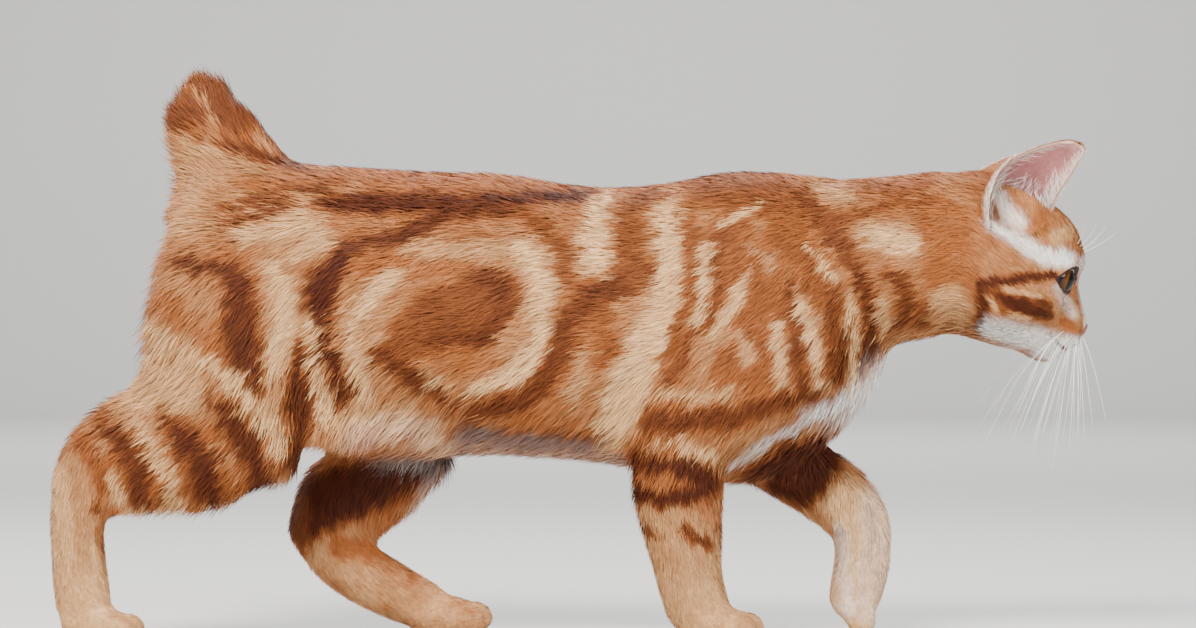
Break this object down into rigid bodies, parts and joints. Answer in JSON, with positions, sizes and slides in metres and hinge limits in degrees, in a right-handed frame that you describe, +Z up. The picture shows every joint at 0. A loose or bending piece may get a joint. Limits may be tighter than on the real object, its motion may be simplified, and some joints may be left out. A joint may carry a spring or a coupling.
{
  "type": "manx cat model",
  "caption": "Life-size standing model of a short-haired, tailless walking cat, parted into head, neck, torso, tail stump, legs and paws.",
  "frame": {"origin": "on the floor under the middle of the cat's bounding box", "axes": "+X towards the cat's nose, +Y towards its left side, +Z up"},
  "size_m": [0.5472, 0.1149, 0.2972],
  "materials": {
    "coat": "short dense fur, red marbled tabby on cream",
    "pale_coat": "short cream fur of feet and paws",
    "ear_skin": "thin pink skin with fine white hair",
    "nose_leather": "finely pebbled, slightly moist",
    "eye": "wet and glossy, amber iris and dark pupil"
  },
  "bodies": {
    "root": {"head": "coat", "neck": "coat", "torso": "coat", "tail": "coat", "ear_left": "ear_skin", "ear_right": "ear_skin", "eye_left": "eye", "eye_right": "eye", "nose": "nose_leather", "foreleg_left": "coat", "foreleg_right": "coat", "forepaw_left": "pale_coat", "forepaw_right": "pale_coat", "hind_leg_left": "coat", "hind_leg_right": "coat", "hind_foot_left": "pale_coat", "hind_foot_right": "pale_coat", "hind_paw_left": "pale_coat", "hind_paw_right": "pale_coat"}
  },
  "joints": []
}
